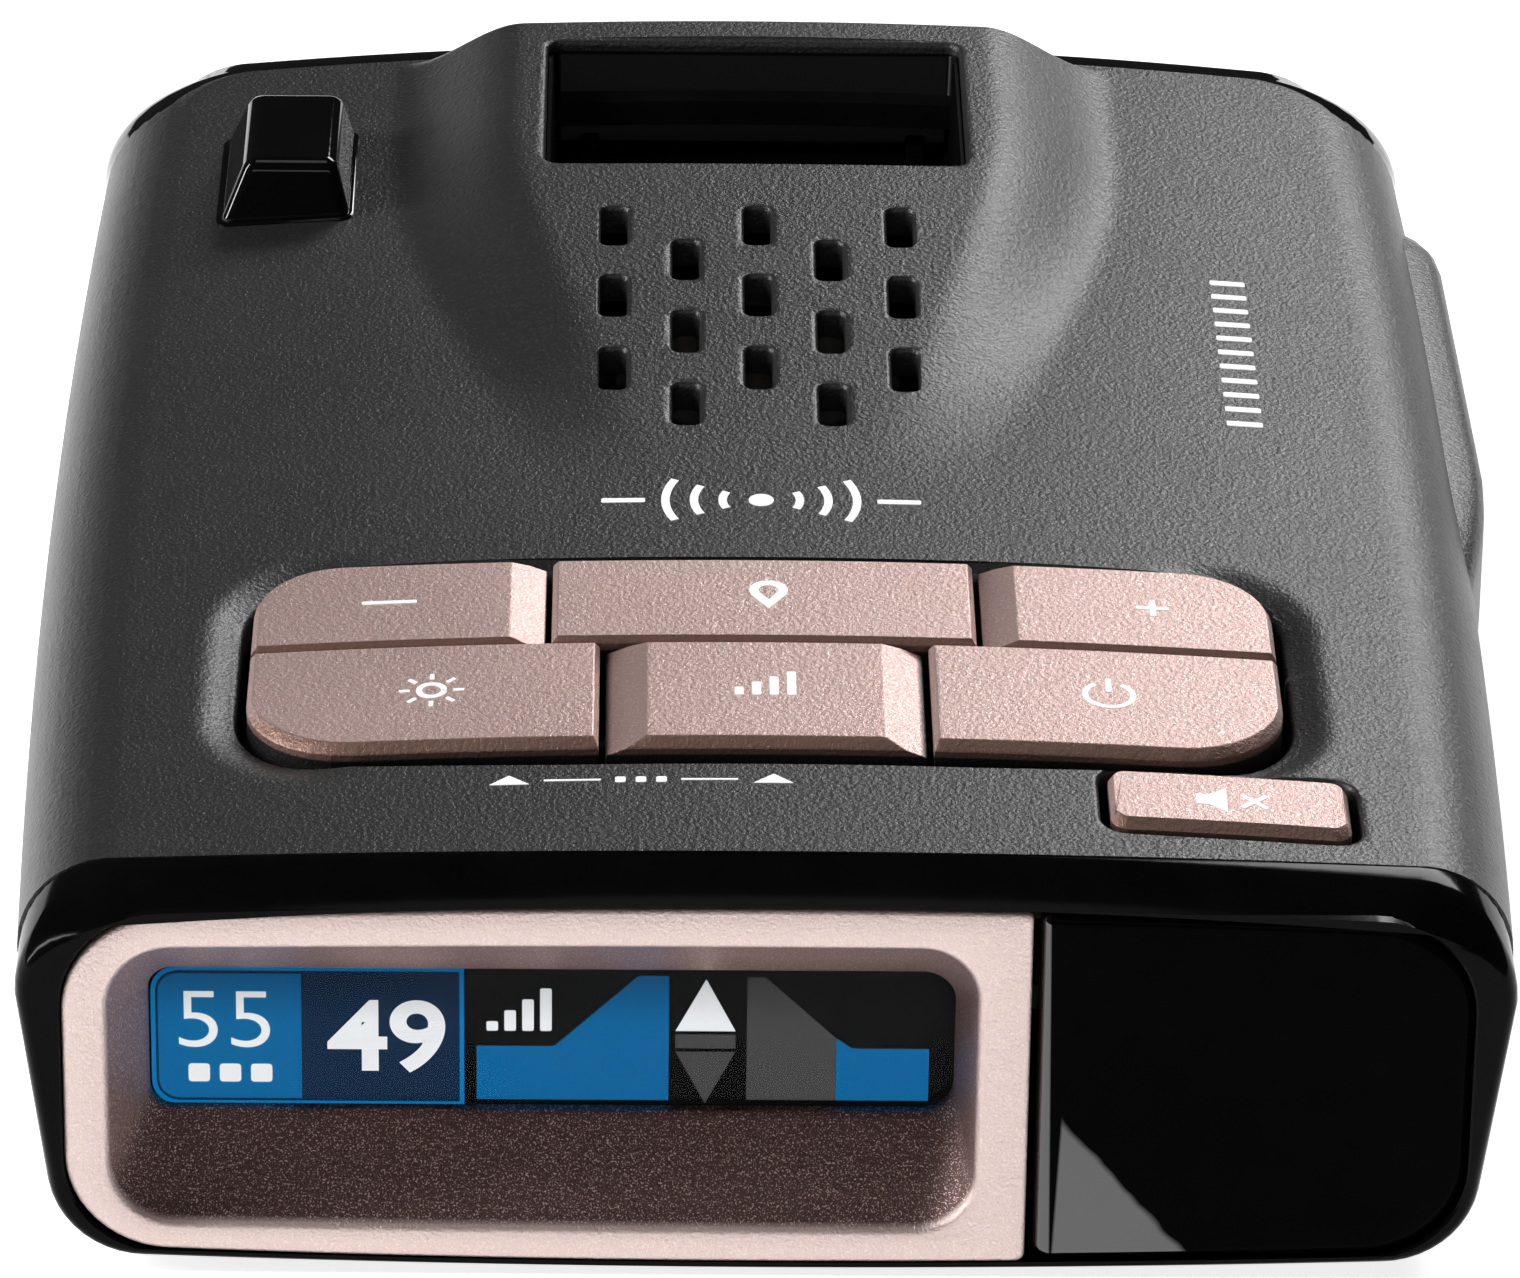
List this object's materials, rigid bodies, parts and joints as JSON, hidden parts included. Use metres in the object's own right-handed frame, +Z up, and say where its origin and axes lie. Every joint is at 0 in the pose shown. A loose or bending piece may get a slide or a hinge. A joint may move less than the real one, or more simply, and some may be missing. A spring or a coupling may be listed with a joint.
{
  "type": "radar detector",
  "caption": "Windscreen radar detector: charcoal shell with a mount hump, recessed display, rose-gold push keys, speaker grille, laser turret and side jack housing",
  "frame": {"origin": "centre of the bounding box in plan, at the underside of the foot pads", "axes": "X runs across the display to the right as the driver sees it, Y runs from the display towards the windscreen, Z is up"},
  "size_m": [0.0852, 0.111, 0.028],
  "materials": {
    "shell_black": "fine leather-grain moulded ABS, matte charcoal",
    "gloss_black": "polished piano-black polycarbonate",
    "rose_paint": "metallic rose-gold paint over plastic, fine sparkle",
    "clear_window": "clear hard-coated acrylic",
    "oled_glass": "dark display glass with lit segments",
    "board_green": "solder-masked fibreglass board with parts",
    "silicone": "soft black silicone sheet",
    "tin_plate": "tin-plated pressed steel",
    "die_cast": "die-cast zinc-aluminium horn, as cast",
    "magnet_nickel": "nickel-plated neodymium disc",
    "speaker_black": "black speaker basket",
    "cone_paper": "treated paper cone with rubber surround",
    "foam": "closed-cell foam ring",
    "sensor_dark": "infrared-pass dark red lens block",
    "ceramic": "patch antenna ceramic with silver face",
    "brass_post": "turned hex spacer",
    "screw_black": "black-oxide screw",
    "screw_zinc": "zinc-plated screw",
    "pad_rubber": "soft black rubber pad",
    "label_silver": "printed silver polyester label",
    "inlet_black": "black moulded jack with gilt contacts"
  },
  "bodies": {
    "housing": {"top_shell": "shell_black", "bottom_shell": "shell_black", "front_frame": "gloss_black", "display_bezel": "rose_paint", "display_window": "clear_window", "display_module": "oled_glass", "display_board": "board_green", "sensor_window": "gloss_black", "rear_window": "gloss_black", "laser_turret": "gloss_black", "jack_housing": "shell_black", "key_membrane": "silicone", "key_switches": "tin_plate", "key_board": "board_green", "key_board_spacers": "brass_post", "mount_pocket": "gloss_black", "mount_magnets": "magnet_nickel", "speaker_frame": "speaker_black", "speaker_cone": "cone_paper", "speaker_gasket": "foam", "main_board": "board_green", "radar_horn": "die_cast", "rf_shield": "tin_plate", "laser_sensor_ahead": "sensor_dark", "laser_sensor_behind": "sensor_dark", "gps_antenna": "ceramic", "power_inlet": "inlet_black", "usb_inlet": "tin_plate", "case_screws": "screw_black", "board_screws": "screw_zinc", "foot_pads": "pad_rubber", "rating_label": "label_silver"},
    "key_minus_body": {"key_minus": "rose_paint"},
    "key_mark_body": {"key_mark": "rose_paint"},
    "key_plus_body": {"key_plus": "rose_paint"},
    "key_brightness_body": {"key_brightness": "rose_paint"},
    "key_sensitivity_body": {"key_sensitivity": "rose_paint"},
    "key_power_body": {"key_power": "rose_paint"},
    "key_mute_body": {"key_mute": "rose_paint"}
  },
  "joints": [
    {"name": "minus_press", "type": "slide", "parent": "housing", "child": "key_minus_body", "axis": [0, 0, -1], "range_m": [0, 0.0005], "stiffness_N_per_m": 400, "springref_m": -0.001},
    {"name": "mark_press", "type": "slide", "parent": "housing", "child": "key_mark_body", "axis": [0, 0, -1], "range_m": [0, 0.0005], "stiffness_N_per_m": 400, "springref_m": -0.001},
    {"name": "plus_press", "type": "slide", "parent": "housing", "child": "key_plus_body", "axis": [0, 0, -1], "range_m": [0, 0.0005], "stiffness_N_per_m": 400, "springref_m": -0.001},
    {"name": "brightness_press", "type": "slide", "parent": "housing", "child": "key_brightness_body", "axis": [0, 0, -1], "range_m": [0, 0.0005], "stiffness_N_per_m": 400, "springref_m": -0.001},
    {"name": "sensitivity_press", "type": "slide", "parent": "housing", "child": "key_sensitivity_body", "axis": [0, 0, -1], "range_m": [0, 0.0005], "stiffness_N_per_m": 400, "springref_m": -0.001},
    {"name": "power_press", "type": "slide", "parent": "housing", "child": "key_power_body", "axis": [0, 0, -1], "range_m": [0, 0.0005], "stiffness_N_per_m": 400, "springref_m": -0.001},
    {"name": "mute_press", "type": "slide", "parent": "housing", "child": "key_mute_body", "axis": [0, 0, -1], "range_m": [0, 0.0005], "stiffness_N_per_m": 400, "springref_m": -0.001}
  ]
}
